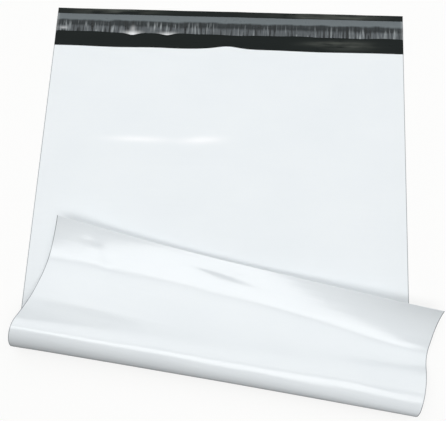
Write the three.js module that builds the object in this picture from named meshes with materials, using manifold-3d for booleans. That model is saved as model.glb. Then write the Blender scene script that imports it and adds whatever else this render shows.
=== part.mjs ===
// Poly mailer bag, empty, lying on its back with its bottom end folded loosely over the front.
//
// The bag is one web of co-extruded polyethylene film, white outside and black inside. The web is
// creased at the bottom and welded down both sides. Its back panel runs on past the mouth as a flap,
// which carries a band of hot-melt adhesive under a release liner.
//
// Millimetres. +Z is up, +X runs along the mouth and +Y points from the pocket to the flap.

import * as THREE from "three";
import { mergeVertices } from "three/addons/utils/BufferGeometryUtils.js";
import Module from "manifold-3d";

const wasm = await Module();
wasm.setup();

// The flat bag
const BAG_WIDTH = 483;
const POCKET_LENGTH = 610; // mouth to bottom crease
const FLAP_LENGTH = 56; // mouth to the flap's free edge
const FILM = 0.06; // gauge of the film
const AIR_GAP = 0.4; // slack between the two panels of the empty pocket
const WELD_WIDTH = 8; // each side weld, in from the bag's edge

// The closure on the flap
const LINER_WIDTH = 27;
const LINER_THICKNESS = 0.05;
const LINER_INSET = 8.5; // flap's free edge to the liner
const BAND_MARGIN = 3; // liner left bare beside the band, for lifting it
const BAND_THICKNESS = 0.05;
const BAND_END_INSET = 2; // bag's edge to the end of the band

// The fold, an oblique roll whose section is four arcs in a row. Each arc has its length along the
// film and the angle that it turns, at the bag's left edge and at its right edge, and is in between
// those in between. The last arc, the tail, takes what is left of the film up to the bottom crease.
const FOLDED_LENGTH = 185; // bottom crease to the start of the fold, on the centre line
const FOLD_SLANT = THREE.MathUtils.degToRad(6.8); // fold against mouth
const ARCS = [
  { left: { length: 12.5, turn: 74 }, right: { length: 17.5, turn: 128 }, steps: 9 },
  { left: { length: 76, turn: 160 }, right: { length: 56, turn: 96 }, steps: 14 },
  { left: { length: 48, turn: -50 }, right: { length: 31, turn: -46 }, steps: 5 },
  { left: { turn: -24 }, right: { turn: -24 }, steps: 4 },
];

// Facets
const COLUMNS = 8; // across the pocket, between the welds
const CREASE_LAYERS = 4; // around the half-round of the bottom crease

const WEB_LENGTH = FLAP_LENGTH + POCKET_LENGTH;
const FOLD_START = WEB_LENGTH - FOLDED_LENGTH;
const POCKET_WIDTH = BAG_WIDTH - 2 * WELD_WIDTH;
const CLEAR = 1; // how far a cutter runs past what it cuts
const cos = Math.cos(FOLD_SLANT);
const sin = Math.sin(FOLD_SLANT);

// Places on the flat web are x across it and s along it from the flap's free edge. Beside the fold
// the same place is a along the fold's line, from its middle, and u square to that line.
function besideFold(x, s) {
  const beyond = s - FOLD_START;
  return { a: x * cos + beyond * sin, u: beyond * cos - x * sin };
}

// The four arcs of the section at a along the fold, with turns in radians.
function sectionAt(a) {
  const share = 0.5 + a / BAG_WIDTH;
  const arcs = ARCS.map(({ left, right }) => ({
    length: THREE.MathUtils.lerp(left.length, right.length, share),
    turn: THREE.MathUtils.degToRad(THREE.MathUtils.lerp(left.turn, right.turn, share)),
  }));
  const tail = arcs.pop();
  const used = arcs.reduce((sum, arc) => sum + arc.length, 0);
  const crease = (FOLDED_LENGTH - a * sin) / cos;
  return [...arcs, { length: crease - used, turn: tail.turn }];
}

// Walks u along the section: how far forward and up the film has come, and its slope there.
function walkSection(a, u) {
  const arcs = sectionAt(a);
  let forward = 0;
  let up = 0;
  let slope = 0;
  let left = u;
  for (const [index, { length, turn }] of arcs.entries()) {
    const last = index === arcs.length - 1;
    const stretch = last ? left : Math.min(left, length);
    const radius = length / turn;
    const next = slope + stretch / radius;
    forward += radius * (Math.sin(next) - Math.sin(slope));
    up += radius * (Math.cos(slope) - Math.cos(next));
    slope = next;
    left -= stretch;
    if (left <= 0) break;
  }
  return { forward, up, slope };
}

// Where the place x, s of the web lies, at a height above the web's outer face. The front panel is
// above the back panel on the table, and so it is on the inside of the roll.
function lay(x, s, height) {
  const { a, u } = besideFold(x, s);
  if (u <= 0) return new THREE.Vector3(x, -s, height);
  const { forward, up, slope } = walkSection(a, u);
  const ahead = forward - height * Math.sin(slope);
  return new THREE.Vector3(
    a * cos - ahead * sin,
    -FOLD_START - a * sin - ahead * cos,
    up + height * Math.cos(slope),
  );
}

// Row of places at a share of one of the first three arcs: s as a function of x.
function arcRow(index, share) {
  const reach = (side) =>
    ARCS.slice(0, index).reduce((sum, arc) => sum + arc[side].length, 0) +
    ARCS[index][side].length * share;
  const atLeft = reach("left");
  const spread = reach("right") - atLeft;
  return (x) => {
    const middle = atLeft + spread * (0.5 + (x * cos) / BAG_WIDTH);
    return FOLD_START + (middle + x * sin) / (cos - (spread * sin) / BAG_WIDTH);
  };
}

// Rows of places from start to end along the web, close together where the section bends.
function rowsBetween(starts, end) {
  const rows = [...starts.map((s) => () => s), (x) => FOLD_START + (x * sin) / cos];
  const tailIndex = ARCS.length - 1;
  for (let index = 0; index < tailIndex; index++) {
    for (let step = 1; step <= ARCS[index].steps; step++) {
      rows.push(arcRow(index, step / ARCS[index].steps));
    }
  }
  const tailStart = rows[rows.length - 1];
  for (let step = 1; step <= ARCS[tailIndex].steps; step++) {
    rows.push((x) => THREE.MathUtils.lerp(tailStart(x), end, step / ARCS[tailIndex].steps));
  }
  return rows;
}

// Columns of places across the pocket, from weld to weld.
function pocketColumns() {
  const columns = [];
  for (let index = 0; index <= COLUMNS; index++) {
    columns.push(POCKET_WIDTH * (index / COLUMNS - 0.5));
  }
  return columns;
}

// Closed slab over a grid of columns and rows, laid out in the fold. It lies from low to
// low + thick(x) above the web's outer face, and its far end is a half-round.
function slab(columns, rows, low, thick) {
  const box = new THREE.BoxGeometry(1, 1, 1, columns.length - 1, rows.length - 1, CREASE_LAYERS);
  box.deleteAttribute("normal");
  box.deleteAttribute("uv");
  const grid = mergeVertices(box);
  const places = grid.getAttribute("position");
  for (let index = 0; index < places.count; index++) {
    const x = columns[Math.round((places.getX(index) + 0.5) * (columns.length - 1))];
    const row = Math.round((0.5 - places.getY(index)) * (rows.length - 1));
    const around = Math.PI * places.getZ(index);
    const radius = thick(x) / 2;
    const atEnd = row === rows.length - 1;
    const drawnIn = atEnd ? radius * (1 - Math.cos(around)) : 0;
    const place = lay(x, rows[row](x) - drawnIn, low + radius * (1 + Math.sin(around)));
    places.setXYZ(index, place.x, place.y, place.z);
  }
  return grid;
}

function toSolid(geometry) {
  return new wasm.Manifold(
    new wasm.Mesh({
      numProp: 3,
      vertProperties: new Float32Array(geometry.getAttribute("position").array),
      triVerts: new Uint32Array(geometry.index.array),
    }),
  );
}

function toGeometry(solid) {
  const { vertProperties, triVerts } = solid.getMesh();
  const geometry = new THREE.BufferGeometry();
  geometry.setAttribute("position", new THREE.BufferAttribute(vertProperties, 3));
  geometry.setIndex(new THREE.BufferAttribute(triVerts, 1));
  const faceted = geometry.toNonIndexed();
  faceted.computeVertexNormals();
  return faceted;
}

// The web: both panels as one slab, less the open pocket between them, less the front panel over
// the flap. The welds close the pocket at both sides and thin down to two films at the bag's edge.
function bagGeometry() {
  const inner = pocketColumns();
  const columns = [-BAG_WIDTH / 2, ...inner, BAG_WIDTH / 2];
  const bothFilms = 2 * FILM;
  const thickness = (x) => (Math.abs(x) < BAG_WIDTH / 2 ? bothFilms + AIR_GAP : bothFilms);
  const web = slab(columns, rowsBetween([0, FLAP_LENGTH], WEB_LENGTH), 0, thickness);

  const pocketRows = rowsBetween([FLAP_LENGTH - CLEAR], WEB_LENGTH - FILM);
  const pocket = slab(inner, pocketRows, FILM, () => AIR_GAP);

  const overFlap = new THREE.BoxGeometry(BAG_WIDTH + 2 * CLEAR, FLAP_LENGTH + CLEAR, CLEAR);
  overFlap.deleteAttribute("normal");
  overFlap.deleteAttribute("uv");
  const cutter = mergeVertices(overFlap);
  cutter.translate(0, (CLEAR - FLAP_LENGTH) / 2, FILM + CLEAR / 2);

  const solid = toSolid(web).subtract(toSolid(pocket)).subtract(toSolid(cutter));
  return toGeometry(solid);
}

const white = new THREE.MeshStandardMaterial({ color: 0xeff4f7, roughness: 0.3, metalness: 0 });
const hotMelt = new THREE.MeshStandardMaterial({ color: 0x3a3c3a, roughness: 0.5, metalness: 0 });
const smoke = new THREE.MeshStandardMaterial({ color: 0x5a6266, roughness: 0.35, metalness: 0 });

const bag = new THREE.Mesh(bagGeometry(), white);
bag.name = "bag";

const linerMiddle = LINER_INSET + LINER_WIDTH / 2;
const bandWidth = LINER_WIDTH - 2 * BAND_MARGIN;

const adhesiveBand = new THREE.Mesh(
  new THREE.BoxGeometry(BAG_WIDTH - 2 * BAND_END_INSET, bandWidth, BAND_THICKNESS),
  hotMelt,
);
adhesiveBand.name = "adhesive_band";
adhesiveBand.position.set(0, -linerMiddle, FILM + BAND_THICKNESS / 2);

const releaseLiner = new THREE.Mesh(
  new THREE.BoxGeometry(BAG_WIDTH, LINER_WIDTH, LINER_THICKNESS),
  smoke,
);
releaseLiner.name = "release_liner";
releaseLiner.position.set(0, -linerMiddle, FILM + BAND_THICKNESS + LINER_THICKNESS / 2);

// The origin is under the middle of the bag as it lies.
const laidOut = new THREE.Group();
laidOut.add(bag, adhesiveBand, releaseLiner);
const middle = new THREE.Box3().setFromObject(laidOut).getCenter(new THREE.Vector3());
laidOut.position.set(-middle.x, -middle.y, 0);

const mailer = new THREE.Group();
mailer.add(laidOut);

export default mailer;
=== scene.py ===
import math

import bmesh
import bpy
import numpy as np
from mathutils import Matrix, Vector


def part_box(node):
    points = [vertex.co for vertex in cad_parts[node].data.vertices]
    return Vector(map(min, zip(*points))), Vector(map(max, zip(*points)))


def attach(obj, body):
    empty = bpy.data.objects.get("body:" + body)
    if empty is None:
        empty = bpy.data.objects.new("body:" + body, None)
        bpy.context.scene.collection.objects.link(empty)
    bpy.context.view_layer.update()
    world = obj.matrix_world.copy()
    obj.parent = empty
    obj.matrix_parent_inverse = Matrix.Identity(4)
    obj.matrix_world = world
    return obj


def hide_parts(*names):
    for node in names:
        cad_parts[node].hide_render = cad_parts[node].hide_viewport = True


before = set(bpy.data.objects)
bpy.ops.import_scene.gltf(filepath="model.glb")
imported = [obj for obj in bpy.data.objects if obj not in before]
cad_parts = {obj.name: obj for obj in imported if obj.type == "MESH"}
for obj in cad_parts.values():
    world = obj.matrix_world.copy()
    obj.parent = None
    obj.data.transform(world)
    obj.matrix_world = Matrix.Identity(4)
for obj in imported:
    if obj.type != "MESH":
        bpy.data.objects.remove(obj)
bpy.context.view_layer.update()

# The bag: one web of co-extruded polyethylene film, white outside and black inside. It is creased
# once at the bottom and hot-knife welded down both sides, and its back panel runs on as the flap.
# It lies with its bottom end folded loosely over the front, in an oblique roll.
MM = 0.001
WIDTH = 483 * MM
POCKET = 610 * MM
FLAP = 56 * MM
WEB = FLAP + POCKET
FILM = 0.06 * MM
WELD = 8 * MM
BOTH_WELDED = 2.2 * FILM
CREASE_RADIUS = 0.3 * MM
FOLDED = 185 * MM
FOLD_START = WEB - FOLDED
SLANT = math.radians(6.8)

liner_low, liner_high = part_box("release_liner")
MIDDLE_X = (liner_low[0] + liner_high[0]) / 2
FLAP_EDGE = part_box("bag")[1][1]

# Lengths of film in the roll and the angles they turn, at its left end and right end, and how much
# more that is halfway along. The last turn belongs to all the film that is left.
ROLL_LENGTHS = np.array([
    (21, 13.5, -2),
    (39, 15.5, 2),
    (14.5, 49.5, -5),
    (58.5, 29.5, -1),
    (41, 8, 0),
]) * MM
ROLL_TURNS = np.radians([
    (100, 93, 0),
    (62, 68, 3),
    (61.5, 60, -11.5),
    (-29, -56.5, 27.5),
    (-32, 5, -17.5),
    (-16, -8.5, 7.5),
])
BEND_EASE = 4 * MM

# Marks in the film, each with its height, its middle and its reach, in millimetres on the flat bag.
SMALL_DENTS = [
    (0.7, (-184, 636), (7, 7)),
    (-0.7, (-167, 626), (8, 7)),
    (-0.3, (-200, 645), (8, 7)),
]
MOUTH_BAYS = [
    (1.2, (-157, 0), (50, 1)),
    (0.8, (128, 0), (40, 1)),
    (0.9, (-60, 0), (26, 1)),
    (-2.4, (2, 0), (22, 1)),
]
MOUTH_CUT_BACK = 1.2
# Where the black face gets soft painted glare, each with its strength, middle and reach.
GLARE_PLACES = [
    (1, (-160, 3), (50, 5)),
    (1, (140, 4), (70, 4)),
    (1, (155, 46), (38, 5)),
]


def beside_fold(x, s):
    """Distance along the fold's line and square to it, of places x, s on the flat bag."""
    beyond = s - FOLD_START
    along = x * math.cos(SLANT) + beyond * math.sin(SLANT)
    across = beyond * math.cos(SLANT) - x * math.sin(SLANT)
    return along, across


def at_share(share, left_end, right_end, halfway_more):
    """A value of the roll at a share of its length from its left end."""
    return left_end + (right_end - left_end) * share + halfway_more * 4 * share * (1 - share)


def walk_roll(along, across):
    """How far forward and up the film has come at a distance across the fold, and its slope."""
    share = 0.5 + along / WIDTH
    lengths = [at_share(share, *ends) for ends in ROLL_LENGTHS]
    crease = (FOLDED - along * math.sin(SLANT)) / math.cos(SLANT)
    lengths.append(crease - sum(lengths))
    forward = np.minimum(across, 0)
    up = np.zeros_like(across)
    slope = np.zeros_like(across)
    left = np.maximum(across, 0)
    for index, length in enumerate(lengths):
        radius = length / at_share(share, *ROLL_TURNS[index])
        stretch = left if index == len(lengths) - 1 else np.minimum(left, length)
        after = slope + stretch / radius
        forward = forward + radius * (np.sin(after) - np.sin(slope))
        up = up + radius * (np.cos(slope) - np.cos(after))
        slope = after
        left = left - stretch
    return forward, up, slope


def eased_roll(along, across):
    """The roll with its bends evened out, as the film's stiffness does."""
    walks = [walk_roll(along, across + BEND_EASE * shift) for shift in (-1, -0.5, 0, 0.5, 1)]
    return [sum(values) / len(walks) for values in zip(*walks)]


def lay(x, s, height):
    """Where places x, s of the flat bag lie, at a height over the bag's outer back face."""
    along, across = beside_fold(x, s)
    forward, up, slope = eased_roll(along, across)
    ahead = forward - height * np.sin(slope)
    return np.stack([
        MIDDLE_X + along * math.cos(SLANT) - ahead * math.sin(SLANT),
        FLAP_EDGE - FOLD_START - along * math.sin(SLANT) - ahead * math.cos(SLANT),
        up + height * np.cos(slope),
    ], axis=-1)


def dome(x, s, middle, reach):
    """A soft round rise of height 1 around a place of the flat bag, in millimetres."""
    over = (x / MM - middle[0]) / reach[0]
    down = (s / MM - middle[1]) / reach[1]
    return np.exp(-(over ** 2) - down ** 2)


def domes(x, s, marks):
    """The sum of several soft rises, each given by its height, its middle and its reach."""
    return sum(height * dome(x, s, middle, reach) for height, middle, reach in marks)


def pleat(x, s, middle, reach, lean, width):
    """A step of height 1 across the web, that is lost again slowly further on."""
    lost_over = 18
    beyond = s / MM - middle[1] + lean * (x / MM - middle[0])
    step = 0.5 * (1 + np.tanh(beyond / width))
    fade = np.exp(-((x / MM - middle[0]) / reach) ** 2 - (np.maximum(beyond, 0) / lost_over) ** 2)
    return step * fade


def film_rise(x, s):
    """Waves and dents that both films share. Past the roll the film is over, so a rise is a dent."""
    along, across = beside_fold(x, s)
    free = np.clip(across / (60 * MM), 0, 1) ** 2
    waves = 0.5 * np.sin(along / (34 * MM) + 0.6)
    waves = waves + 0.3 * np.sin(along / (17 * MM) + across / (40 * MM))
    behind_crest = dome(x, s, (-175, 561), (75, 8))
    long_dent = -1.6 * pleat(x, s, middle=(-20, 643.5), reach=40, lean=0.09, width=4)
    to_the_right = np.clip((x + 10 * MM) / (200 * MM), 0, 1)
    to_the_end = np.clip((s - 600 * MM) / (66 * MM), 0, 1)
    left_curl = 3.2 * dome(x, s, (-80, 666), (150, 32))
    curl = left_curl - 9 * to_the_right ** 2 * to_the_end ** 3
    flap = np.clip(1 - s / FLAP, 0, 1)
    ripple = 0.15 * (1 + np.sin(x / (21 * MM) + 1.2)) + 0.1 * (1 + np.sin(x / (8 * MM)))
    dents = free * waves + behind_crest + long_dent + domes(x, s, SMALL_DENTS)
    return (dents + curl + flap * ripple) * MM


def front_slack(x, s):
    """Air left between the two films, none at the welds and at the crease."""
    slack_begins = 40 * MM
    from_weld = np.clip((WIDTH / 2 - np.abs(x) - WELD) / slack_begins, 0, 1)
    from_crease = np.clip((WEB - s) / slack_begins, 0, 1)
    pillow = 0.5 + 0.2 * np.sin(x / (47 * MM) + s / (90 * MM))
    pillow = pillow + 0.15 * np.sin(s / (38 * MM) - x / (80 * MM))
    pillow = pillow + 0.06 * np.sin(x / (13 * MM) - s / (21 * MM))
    pillow = pillow + 0.05 * np.sin(s / (9 * MM) + x / (30 * MM))
    flute = 2.6 * dome(x, s, (2, 56), (19, 45))
    left_pleat = pleat(x, s, middle=(-112, 191.5), reach=34, lean=0, width=2.4)
    right_pleat = 1.2 * pleat(x, s, middle=(-27, 189.5), reach=26, lean=0.08, width=2.6)
    air = (pillow + flute) * MM * from_weld ** 0.5 * from_crease ** 0.5
    return air + (left_pleat + right_pleat) * MM


def mouth_wave(x):
    """How far the front's cut edge wanders from straight, in metres along the web."""
    return (MOUTH_CUT_BACK + domes(x, 0 * x, MOUTH_BAYS)) * MM


def web_rows():
    """Places along the web, from the front's mouth round the crease and on to the flap's edge."""
    lip = np.array([0, 1.5, 3.5]) * MM
    pleats = np.linspace(126, 144, 17) * MM
    roll_begins = FOLD_START - FLAP - 40 * MM
    flat = np.linspace(6 * MM, roll_begins, 42, endpoint=False)
    flat = flat[(flat < pleats[0]) | (flat > pleats[-1])]
    flat = np.sort(np.concatenate([flat, pleats, lip]))
    roll = np.linspace(roll_begins, POCKET - 1.5 * MM, 140, endpoint=False)
    front = np.concatenate([flat, roll])
    crease = POCKET + np.linspace(-1.5, 1.5, 13) * MM
    rear = 2 * POCKET - front[::-1]
    flap = np.linspace(2 * POCKET, 2 * POCKET + FLAP - 1.5 * MM, 14)[1:]
    return np.concatenate([front, crease, rear, flap, [2 * POCKET + FLAP]])


def web_columns():
    """Places across the web, close together at the welds."""
    edge = np.array([0, 1, 2.5, 4, 6, 8]) * MM
    middle = np.linspace(-WIDTH / 2 + 11 * MM, WIDTH / 2 - 11 * MM, 101)
    return np.concatenate([edge - WIDTH / 2, middle, WIDTH / 2 - edge[::-1]])


def grid_sheet(bm, columns, rows):
    """A grid of the given columns and rows. Gives each vertex's places across and along."""
    bmesh.ops.create_grid(bm, x_segments=len(columns) - 1, y_segments=len(rows) - 1, size=1)
    column = [round((vert.co.x + 1) / 2 * (len(columns) - 1)) for vert in bm.verts]
    row = [round((vert.co.y + 1) / 2 * (len(rows) - 1)) for vert in bm.verts]
    return columns[column], rows[row]


def lay_out(bm, places, x, along):
    """Moves a sheet's vertices to their places, and maps its flat size to UV in metres.

    The sheet is smooth but for its cut edges, which stay sharp when it is given its gauge.
    """
    flat = bm.loops.layers.uv.new("flat")
    for vert, place in zip(bm.verts, places):
        vert.co = place
    for face in bm.faces:
        face.smooth = True
        for loop in face.loops:
            loop[flat].uv = (x[loop.vert.index], along[loop.vert.index])
    for edge in bm.edges:
        edge.smooth = not edge.is_boundary


def add_piece(name, bm):
    """Makes a finished bmesh an object of that name."""
    mesh = bpy.data.meshes.new(name)
    bm.to_mesh(mesh)
    bm.free()
    piece = bpy.data.objects.new(name, mesh)
    bpy.context.collection.objects.link(piece)
    return piece


def give_gauge(piece, thickness):
    """Thickens a sheet inwards, with its second material on the inner face."""
    gauge = piece.modifiers.new("gauge", "SOLIDIFY")
    gauge.thickness = thickness
    gauge.offset = -1
    gauge.material_offset = 1
    gauge.material_offset_rim = 0


# How high each place of the web lies over the bag's outer back face: two gauges at the welds, the
# slack of an empty pocket between them, and a small round at the crease.
bm = bmesh.new()
x, web = grid_sheet(bm, web_columns(), web_rows())
s = WEB - np.abs(web - POCKET)
weld = np.clip((WIDTH / 2 - np.abs(x)) / WELD, 0, 1)
front = np.maximum(BOTH_WELDED, (2 * FILM + front_slack(x, s)) * weld)
crease = 2 * CREASE_RADIUS * np.maximum(weld, 0.25)
opening = crease + (front - crease) * np.clip((WEB - s) / (12 * MM), 0, 1)
round_crease = np.clip((web - POCKET) / (math.pi / 2 * CREASE_RADIUS), -1, 1)
height = opening * (1 - np.sin(round_crease * math.pi / 2)) / 2

# Along the web the mouth wanders a little, and the bottom crease is bowed in at its middle.
near_mouth = np.clip(1 - (s - FLAP) / (30 * MM), 0, 1) * (web < POCKET)
near_crease = np.clip((s - FOLD_START - 60 * MM) / (125 * MM), 0, 1)
bowed_in = 10.8 * MM * near_crease ** 1.5 * (1 - (2 * x / WIDTH) ** 2)
s_laid = s + near_mouth ** 2 * mouth_wave(x) - bowed_in

# Where the black face gets its painted glare and the white one its painted highlight along the
# pleats, kept for their materials.
painted_glare = bm.verts.layers.float.new("painted_glare")
painted_highlight = bm.verts.layers.float.new("painted_highlight")
# Painted highlight: how much the white colour is lightened along each pleat.
left_highlight = dome(x, s, (-112, 191.2), (37, 4))
right_highlight = 1.1 * dome(x, s + 0.08 * x, (-26, 187.4), (25, 4.8))
highlight_paint = (left_highlight + right_highlight) * (web < POCKET)
for vert, glare_share, highlight_share in zip(bm.verts, domes(x, s, GLARE_PLACES), highlight_paint):
    vert[painted_glare] = glare_share
    vert[painted_highlight] = highlight_share
lay_out(bm, lay(x, s_laid, height + film_rise(x, s)), x, web)
bmesh.ops.reverse_faces(bm, faces=bm.faces)
bag = add_piece("mailer_bag", bm)
give_gauge(bag, FILM)


def add_node(material, kind, settings, sockets):
    """Adds a shader node with its settings and the values of its sockets."""
    made = material.node_tree.nodes.new("ShaderNode" + kind)
    for name, value in settings.items():
        setattr(made, name, value)
    for name, value in sockets.items():
        made.inputs[name].default_value = value
    return made


def new_material(name):
    """A material with its shader, its links and the flat map that its patterns follow."""
    material = bpy.data.materials.new(name)
    material.use_nodes = True
    flat = add_node(material, "UVMap", {"uv_map": "flat"}, {})
    return material, material.node_tree.nodes["Principled BSDF"], material.node_tree.links, flat


def stretched_noise(material, flat, stretch, detail):
    """Noise on the flat map, with that many features to a metre across and along the web."""
    mapping = add_node(material, "Mapping", {}, {"Scale": (*stretch, 1)})
    noise = add_node(material, "TexNoise", {}, {"Scale": 1, "Detail": detail})
    material.node_tree.links.new(flat.outputs["UV"], mapping.inputs["Vector"])
    material.node_tree.links.new(mapping.outputs["Vector"], noise.inputs["Vector"])
    return noise


def film_relief(material, shader, flat, strength):
    """Fine lines of the die along the web's machine direction, and the film's slight peel."""
    peel_share = 0.2
    deepest = 0.4 * MM
    links = material.node_tree.links
    lines = stretched_noise(material, flat, (6, 150), 4)
    peel = stretched_noise(material, flat, (240, 260), 2)
    relief = add_node(material, "Math", {"operation": "MULTIPLY_ADD"}, {1: peel_share})
    bump = add_node(material, "Bump", {}, {"Strength": strength, "Distance": deepest})
    links.new(peel.outputs["Fac"], relief.inputs[0])
    links.new(lines.outputs["Fac"], relief.inputs[2])
    links.new(relief.outputs["Value"], bump.inputs["Height"])
    links.new(bump.outputs["Normal"], shader.inputs["Normal"])


def blend_colour(material, low, high):
    """A mix of two colours, by whatever is joined to its Factor."""
    return add_node(material, "Mix", {"data_type": "RGBA"}, {"A": (*low, 1), "B": (*high, 1)})


def share_between(material, value, low, high):
    """Where a value lies between low, 0, and high, 1."""
    span = add_node(material, "MapRange", {}, {"From Min": low, "From Max": high})
    material.node_tree.links.new(value, span.inputs["Value"])
    return span.outputs["Result"]


def product(material, first, second):
    """One value times another."""
    times = add_node(material, "Math", {"operation": "MULTIPLY"}, {})
    material.node_tree.links.new(first, times.inputs[0])
    material.node_tree.links.new(second, times.inputs[1])
    return times.outputs["Value"]


def uneven_roughness(material, shader, noise, low, high):
    """Roughness that varies between two values with a noise."""
    spread = {"From Min": 0.3, "From Max": 0.7, "To Min": low, "To Max": high}
    rough = add_node(material, "MapRange", {}, spread)
    material.node_tree.links.new(noise.outputs["Fac"], rough.inputs["Value"])
    material.node_tree.links.new(rough.outputs["Result"], shader.inputs["Roughness"])


# White outer layer, loaded with titanium dioxide. The hot knife leaves a fine grey bead at its
# edges, and along the two pleats the film's colour is lightened as a painted highlight.
FILM_IOR = 1.51
DULL_WHITE = (0.785, 0.83, 0.86)
BRIGHT_WHITE = (0.845, 0.883, 0.902)
HIGHLIGHT_WHITE = (0.93, 0.952, 0.97)
BEAD_GREY = (0.3, 0.32, 0.34)
BEAD_BEGINS = WIDTH / 2 - 1.1 * MM
BEAD_FULL = WIDTH / 2 - 0.6 * MM

white, shader, links, flat = new_material("white film")
shader.inputs["IOR"].default_value = FILM_IOR
shader.inputs["Specular IOR Level"].default_value = 0.6
cloud = stretched_noise(white, flat, (9, 14), 3)
tint = blend_colour(white, DULL_WHITE, BRIGHT_WHITE)
links.new(cloud.outputs["Fac"], tint.inputs["Factor"])
across = add_node(white, "SeparateXYZ", {}, {})
links.new(flat.outputs["UV"], across.inputs["Vector"])
from_middle = add_node(white, "Math", {"operation": "ABSOLUTE"}, {})
links.new(across.outputs["X"], from_middle.inputs[0])
bead = share_between(white, from_middle.outputs["Value"], BEAD_BEGINS, BEAD_FULL)
edge = blend_colour(white, (1, 1, 1), BEAD_GREY)
links.new(bead, edge.inputs["Factor"])
# Painted highlight along the pleats, mixed into the white colour.
highlight_paint = add_node(white, "Attribute", {"attribute_name": "painted_highlight"}, {})
paled = blend_colour(white, (1, 1, 1), HIGHLIGHT_WHITE)
links.new(highlight_paint.outputs["Fac"], paled.inputs["Factor"])
links.new(tint.outputs["Result"], paled.inputs["A"])
links.new(paled.outputs["Result"], edge.inputs["A"])
links.new(edge.outputs["Result"], shader.inputs["Base Color"])
uneven_roughness(white, shader, cloud, 0.13, 0.2)
film_relief(white, shader, flat, 0.35)

# Black inner layer, filled with carbon black, with soft patches of painted glare at a few places.
DEEP_BLACK = (0.0015, 0.005, 0.0045)
GLARE_GREY = (0.11, 0.12, 0.105)

black, shader, links, flat = new_material("black film")
shader.inputs["IOR"].default_value = FILM_IOR
shader.inputs["Specular IOR Level"].default_value = 0.12
smoke = stretched_noise(black, flat, (18, 110), 3)
glare_placed = add_node(black, "Attribute", {"attribute_name": "painted_glare"}, {})
# Painted reflection: soft grey glare patches mixed into the black at those places.
glare_patches = share_between(black, smoke.outputs["Fac"], 0.38, 0.66)
amount = product(black, glare_patches, glare_placed.outputs["Fac"])
tint = blend_colour(black, DEEP_BLACK, GLARE_GREY)
links.new(amount, tint.inputs["Factor"])
links.new(tint.outputs["Result"], shader.inputs["Base Color"])
uneven_roughness(black, shader, smoke, 0.24, 0.36)
film_relief(black, shader, flat, 0.5)

bag.data.materials.append(white)
bag.data.materials.append(black)
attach(bag, "root")
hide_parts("bag")


# The adhesive: a band of pressure-sensitive hot melt, slot-coated in one pass on the flap's black
# face. It stops just short of both welds and is covered by the release liner.
LINER_INSET = 8.5 * MM
LINER_WIDTH = 27 * MM
BAND_MARGIN = 3 * MM
BAND_END_INSET = 2 * MM
BAND_THICKNESS = 0.05 * MM
BAND_DARK = (0.03, 0.034, 0.03)
BAND_PALE = (0.055, 0.058, 0.05)
BAND_IOR = 1.5

bm = bmesh.new()
band_ends = WIDTH / 2 - BAND_END_INSET
band_top = LINER_INSET + BAND_MARGIN
band_foot = LINER_INSET + LINER_WIDTH - BAND_MARGIN
band_columns = np.linspace(-band_ends, band_ends, 241)
x, s = grid_sheet(bm, band_columns, np.linspace(band_foot, band_top, 7))
lay_out(bm, lay(x, s, FILM + BAND_THICKNESS + film_rise(x, s)), x, s)
band = add_piece("hot_melt_band", bm)
give_gauge(band, BAND_THICKNESS)

hot_melt, shader, links, flat = new_material("hot melt")
shader.inputs["IOR"].default_value = BAND_IOR
coat = stretched_noise(hot_melt, flat, (20, 300), 3)
tint = blend_colour(hot_melt, BAND_DARK, BAND_PALE)
links.new(coat.outputs["Fac"], tint.inputs["Factor"])
links.new(tint.outputs["Result"], shader.inputs["Base Color"])
uneven_roughness(hot_melt, shader, coat, 0.3, 0.5)
film_relief(hot_melt, shader, flat, 0.5)
band.data.materials.append(hot_melt)
band.data.materials.append(hot_melt)
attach(band, "root")
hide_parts("adhesive_band")


# The release liner: a strip of siliconed grey film, laid on the wet adhesive at the bag's full
# width. It puckers across where the adhesive drew it in, and has let go in a few places at its
# lower edge.
LINER_THICKNESS = 0.05 * MM
LINER_FOOT = LINER_INSET + LINER_WIDTH
LINER_IOR = 1.5
PUCKER = 0.07 * MM
LIFT = 1.2 * MM
FOOT_MM = LINER_FOOT / MM
LET_GO_AT_FOOT = [
    (1, (-132, FOOT_MM), (10, 2.6)),
    (0.9, (-83, FOOT_MM), (10, 1.5)),
]
LET_GO_INSIDE = [
    (0.5, (-231, FOOT_MM - 5), (5, 1.7)),
    (0.4, (-132, FOOT_MM - 6), (3, 4)),
]


def liner_puckers(x, s):
    """Height of the puckers over the adhesive."""
    down = (s - LINER_INSET) / LINER_WIDTH
    held = np.clip((down - 0.25) / 0.15, 0, 1)
    strength = 0.4 + 0.6 * np.sin(x / (31 * MM) + 2) ** 2
    fine = np.sin(x / (0.95 * MM) + 2.5 * np.sin(x / (11 * MM)))
    broad = np.sin(x / (1.7 * MM) + 3 * np.sin(x / (17 * MM)))
    return PUCKER * held * strength * (2 + (fine + broad))


def liner_lifted(x, s):
    """How far the liner has let go, 1 where it stands well clear of the adhesive. The same share
    paints a glint there.
    """
    ends = 0.2 * np.clip(1 - (WIDTH / 2 - np.abs(x)) / (4 * MM), 0, 1)
    return domes(x, s, LET_GO_AT_FOOT) + domes(x, s, LET_GO_INSIDE) + ends


bm = bmesh.new()
liner_columns = np.linspace(-WIDTH / 2, WIDTH / 2, 601)
x, s = grid_sheet(bm, liner_columns, np.linspace(LINER_FOOT, LINER_INSET, 17))
loose = liner_lifted(x, s)
raised = FILM + BAND_THICKNESS + LINER_THICKNESS + liner_puckers(x, s) + LIFT * loose
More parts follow.
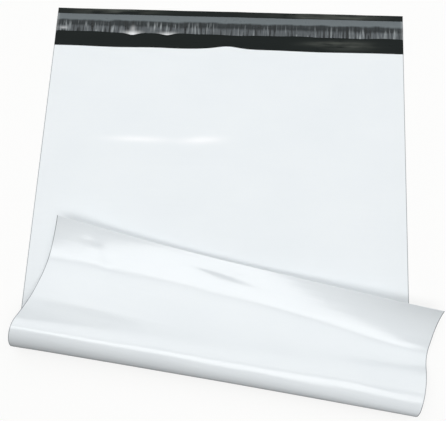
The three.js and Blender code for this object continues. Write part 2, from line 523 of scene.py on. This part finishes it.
# Painted glint where the liner has let go, kept for its material.
glint_paint = bm.verts.layers.float.new("glint_paint")
for vert, amount in zip(bm.verts, loose):
    vert[glint_paint] = amount
down = (s - LINER_INSET) / LINER_WIDTH
straying = 0.5 * np.sin(x / (24 * MM) + 1) + 0.3 * np.sin(x / (9 * MM)) + 4 * loose
s_laid = s + straying * MM * down ** 4
lay_out(bm, lay(x, s_laid, raised + film_rise(x, s)), x, s - LINER_INSET)
liner = add_piece("liner_strip", bm)
give_gauge(liner, LINER_THICKNESS)

# Down its width the liner is grey along a bare margin, near black where the adhesive wets it, and
# grey again at its foot. The bounds between these tones wander.
TONES_DOWN = [
    (0.34, (0.135, 0.16, 0.17)),
    (0.42, (0.022, 0.029, 0.032)),
    (0.58, (0.012, 0.018, 0.02)),
    (0.68, (0.08, 0.092, 0.1)),
]
TOP_TONE = (0.12, 0.14, 0.15)
FOOT_TONE = (0.09, 0.103, 0.11)
TONES_WANDER = 7 * MM

siliconed, shader, links, flat = new_material("siliconed liner")
shader.inputs["IOR"].default_value = LINER_IOR
shader.inputs["Specular IOR Level"].default_value = 0.25
place = add_node(siliconed, "SeparateXYZ", {}, {})
links.new(flat.outputs["UV"], place.inputs["Vector"])
wander = stretched_noise(siliconed, flat, (40, 55), 3)
shift = add_node(siliconed, "Math", {"operation": "MULTIPLY_ADD"}, {1: TONES_WANDER})
links.new(wander.outputs["Fac"], shift.inputs[0])
links.new(place.outputs["Y"], shift.inputs[2])
down = share_between(siliconed, shift.outputs["Value"], 0, LINER_WIDTH + TONES_WANDER)
wetted = add_node(siliconed, "ValToRGB", {}, {})
ramp = wetted.color_ramp
ramp.elements[0].color = (*TOP_TONE, 1)
ramp.elements[1].color = (*FOOT_TONE, 1)
for share_down, tone in TONES_DOWN:
    ramp.elements.new(share_down).color = (*tone, 1)
links.new(down, wetted.inputs["Fac"])

# Fine upright creases, in clusters: dark where the liner touches the adhesive, pale where it
# stands off. Where it has let go, a painted glint makes it near white.
CREASE_DARK = (0.008, 0.011, 0.012)
CREASE_PALE = (0.32, 0.35, 0.36)
GLINT_WHITE = (0.85, 0.87, 0.88)

ticks = stretched_noise(siliconed, flat, (330, 26), 3)
clusters = stretched_noise(siliconed, flat, (22, 30), 3)
dark_crease = share_between(siliconed, ticks.outputs["Fac"], 0.47, 0.36)
below_margin = share_between(siliconed, down, 0.34, 0.46)
dark_amount = product(siliconed, dark_crease, below_margin)
darkened = blend_colour(siliconed, (0, 0, 0), CREASE_DARK)
links.new(dark_amount, darkened.inputs["Factor"])
links.new(wetted.outputs["Color"], darkened.inputs["A"])
pale_crease = share_between(siliconed, ticks.outputs["Fac"], 0.54, 0.68)
clustered = share_between(siliconed, clusters.outputs["Fac"], 0.42, 0.58)
low_down = share_between(siliconed, down, 0.36, 0.6)
pale_amount = product(siliconed, product(siliconed, pale_crease, clustered), low_down)
paled = blend_colour(siliconed, (0, 0, 0), CREASE_PALE)
links.new(pale_amount, paled.inputs["Factor"])
links.new(darkened.outputs["Result"], paled.inputs["A"])
# Painted glint: near white where the liner has let go.
glint_placed = add_node(siliconed, "Attribute", {"attribute_name": "glint_paint"}, {})
painted_glint = blend_colour(siliconed, (0, 0, 0), GLINT_WHITE)
links.new(glint_placed.outputs["Fac"], painted_glint.inputs["Factor"])
links.new(paled.outputs["Result"], painted_glint.inputs["A"])
links.new(painted_glint.outputs["Result"], shader.inputs["Base Color"])
uneven_roughness(siliconed, shader, wander, 0.22, 0.42)
fine = add_node(siliconed, "Bump", {}, {"Strength": 0.6, "Distance": 0.4 * MM})
links.new(ticks.outputs["Fac"], fine.inputs["Height"])
links.new(fine.outputs["Normal"], shader.inputs["Normal"])
liner.data.materials.append(siliconed)
liner.data.materials.append(siliconed)
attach(liner, "root")
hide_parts("release_liner")


# The floor is a pale paper sweep that the camera sees as white, with the bag's soft shadow kept.
# It lies just under the bag, and gives little light back to the underside of the roll.
FLOOR_REACH = 4
FLOOR_DROP = 0.2 * MM
FLOOR_SEEN = (0.93, 0.93, 0.92)
FLOOR_BOUNCE = (0.12, 0.12, 0.12)
FLOOR_GLOW = 0.75

bm = bmesh.new()
bmesh.ops.create_grid(bm, x_segments=1, y_segments=1, size=FLOOR_REACH)
bmesh.ops.translate(bm, vec=(0, 0, -FLOOR_DROP), verts=bm.verts)
floor = add_piece("floor", bm)
paper = bpy.data.materials.new("paper sweep")
paper.use_nodes = True
links = paper.node_tree.links
path = add_node(paper, "LightPath", {}, {})
matt = paper.node_tree.nodes["Principled BSDF"]
matt.inputs["Roughness"].default_value = 0.9
matt.inputs["Specular IOR Level"].default_value = 0
shade = blend_colour(paper, FLOOR_BOUNCE, FLOOR_SEEN)
links.new(path.outputs["Is Camera Ray"], shade.inputs["Factor"])
links.new(shade.outputs["Result"], matt.inputs["Base Color"])
glow = add_node(paper, "Emission", {}, {"Color": (1, 1, 0.995, 1)})
share = add_node(paper, "Math", {"operation": "MULTIPLY"}, {1: FLOOR_GLOW})
links.new(path.outputs["Is Camera Ray"], share.inputs[0])
mix = add_node(paper, "MixShader", {}, {})
links.new(share.outputs["Value"], mix.inputs["Fac"])
links.new(matt.outputs["BSDF"], mix.inputs[1])
links.new(glow.outputs["Emission"], mix.inputs[2])
links.new(mix.outputs["Shader"], paper.node_tree.nodes["Material Output"].inputs["Surface"])
floor.data.materials.append(paper)


# The camera looks steeply down on the bag from the bottom end's side, a little turned and rolled,
# from just over half a metre.
PICTURE_WIDTH = 446
FOCAL_PIXELS = 450
SENSOR = 36
DISTANCE = 582 * MM
ELEVATION, TURN, ROLL = (math.radians(angle) for angle in (79.7, 13.35, -10.68))

aim = Vector((MIDDLE_X + 7 * MM, FLAP_EDGE - 283 * MM, 0))
back = Vector((
    math.sin(TURN) * math.cos(ELEVATION),
    -math.cos(TURN) * math.cos(ELEVATION),
    math.sin(ELEVATION),
))
right = (-back).cross(Vector((0, 0, 1))).normalized()
above = right.cross(-back)
camera_right = right * math.cos(ROLL) + above * math.sin(ROLL)
camera_up = above * math.cos(ROLL) - right * math.sin(ROLL)
camera_data = bpy.data.cameras.new("camera")
camera_data.sensor_width = SENSOR
camera_data.lens = SENSOR * FOCAL_PIXELS / PICTURE_WIDTH
camera_data.clip_start = 0.01
camera = bpy.data.objects.new("camera", camera_data)
facing = Matrix((camera_right, camera_up, back)).transposed().to_4x4()
camera.matrix_world = Matrix.Translation(aim + back * DISTANCE) @ facing
bpy.context.collection.objects.link(camera)
bpy.context.scene.camera = camera


# Plain studio light: one very large soft box over the flap's side, a smaller one before the roll
# that gives the film its long highlights, and a dim room that the camera sees as white.
FLAP_BOX_SIZE = (3.6, 2.5)
FLAP_BOX_WATTS = 39
ROLL_BOX_SIZE = (2.3, 0.7)
ROLL_BOX_WATTS = 17.5
ROOM_LEVEL = 0.17


def soft_box(name, place, towards, size, power):
    """A rectangular lamp at a place, facing towards another."""
    lamp = bpy.data.lights.new(name, "AREA")
    lamp.shape = "RECTANGLE"
    lamp.size, lamp.size_y = size
    lamp.energy = power
    box = bpy.data.objects.new(name, lamp)
    facing = (towards - place).to_track_quat("-Z", "Y").to_matrix().to_4x4()
    box.matrix_world = Matrix.Translation(place) @ facing
    bpy.context.collection.objects.link(box)


middle = Vector((MIDDLE_X, FLAP_EDGE - 300 * MM, 0))
over_flap = middle + Vector((0, 0.94, 1.77))
soft_box("over the flap", over_flap, middle, FLAP_BOX_SIZE, FLAP_BOX_WATTS)
before_roll = middle + Vector((0, -0.74, 1.9))
roll_middle = middle + Vector((0, -0.1, 0))
soft_box("before the roll", before_roll, roll_middle, ROLL_BOX_SIZE, ROLL_BOX_WATTS)
room = bpy.data.worlds.new("room")
room.use_nodes = True
air = room.node_tree.nodes["Background"]
air.inputs["Color"].default_value = (1, 1, 1, 1)
path = add_node(room, "LightPath", {}, {})
level = add_node(room, "MapRange", {}, {"To Min": ROOM_LEVEL, "To Max": 1})
room.node_tree.links.new(path.outputs["Is Camera Ray"], level.inputs["Value"])
room.node_tree.links.new(level.outputs["Result"], air.inputs["Strength"])
bpy.context.scene.world = room
bpy.context.scene.view_settings.view_transform = "Standard"
